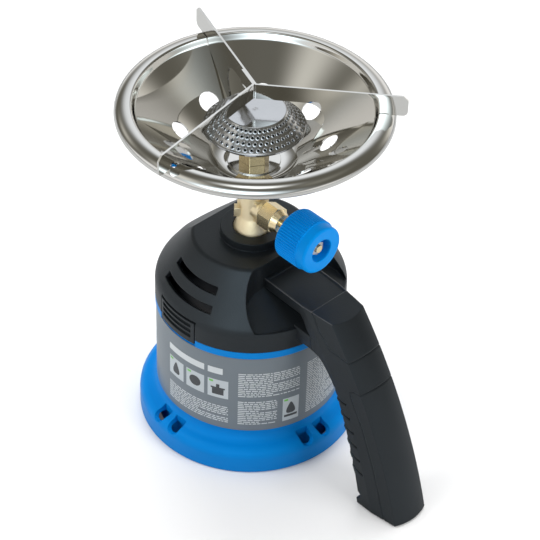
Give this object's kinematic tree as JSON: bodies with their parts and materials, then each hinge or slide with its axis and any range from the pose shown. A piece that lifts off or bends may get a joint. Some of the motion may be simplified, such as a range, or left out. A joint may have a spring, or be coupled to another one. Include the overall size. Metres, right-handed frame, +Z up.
{
  "type": "camping gas stove",
  "caption": "Portable gas stove: a tub for a pierced cartridge, a clip-on head with pistol grip, a valve with knob, and a polished bowl with perforated burner and pot-support blades.",
  "frame": {"origin": "the stove's axis at the floor, on the pad under the tub", "axes": "+X along the handle and the knob's axis, +Z up along the stove's axis"},
  "size_m": [0.189, 0.1388, 0.202],
  "materials": {
    "blue_plastic": "satin moulded plastic",
    "blue_knob": "satin moulded plastic",
    "printed_film": "printed film",
    "cartridge_steel": "lacquered",
    "black_plastic": "fine-grained",
    "steel": "pressed",
    "cast_brass": "as cast",
    "turned_brass": "turned",
    "rubber": "moulded",
    "chrome": "polished"
  },
  "bodies": {
    "stove": {"base_tub": "blue_plastic", "label_sleeve": "printed_film", "gas_cartridge": "cartridge_steel", "top_housing": "black_plastic", "handle_frame": "black_plastic", "handle_knee_cover": "black_plastic", "handle_back_cover": "black_plastic", "handle_screws": "steel", "valve_body": "cast_brass", "valve_lock_nut": "turned_brass", "cartridge_seal": "rubber", "piercing_needle": "steel", "gland_nut": "turned_brass", "windshield_bowl": "chrome", "bowl_washer": "chrome", "burner_stem": "turned_brass", "gas_jet": "turned_brass", "mixing_tube": "steel", "burner_cup": "steel", "burner_cap": "steel", "pot_support_long": "chrome", "pot_support_short": "chrome"},
    "spindle_seal": {"spindle_o_ring": "rubber"},
    "control_knob": {"spindle": "turned_brass", "knob": "blue_knob", "knob_nut": "steel"},
    "left_latch": {"latch_left": "black_plastic"},
    "right_latch": {"latch_right": "black_plastic"}
  },
  "joints": [
    {"name": "spindle_lift", "type": "slide", "parent": "stove", "child": "spindle_seal", "axis": [1, 0, 0], "range_m": [0, 0.0016]},
    {"name": "knob_turn", "type": "hinge", "parent": "spindle_seal", "child": "control_knob", "pos_m": [0.029, 0, 0.13], "axis": [1, 0, 0], "range_deg": [0, 720]},
    {"name": "latch_left_press", "type": "hinge", "parent": "stove", "child": "left_latch", "pos_m": [-0.00308, -0.04409, 0.081], "axis": [-0.9976, 0.0698, 0], "range_deg": [0, 6.5], "stiffness_Nm_per_rad": 0.05},
    {"name": "latch_right_press", "type": "hinge", "parent": "stove", "child": "right_latch", "pos_m": [0.00308, 0.04409, 0.081], "axis": [0.9976, -0.0698, 0], "range_deg": [0, 6.5], "stiffness_Nm_per_rad": 0.05}
  ],
  "couplings": [
    {"joint": "spindle_lift", "follows": "knob_turn", "m_per_rad": 0.00012732}
  ]
}
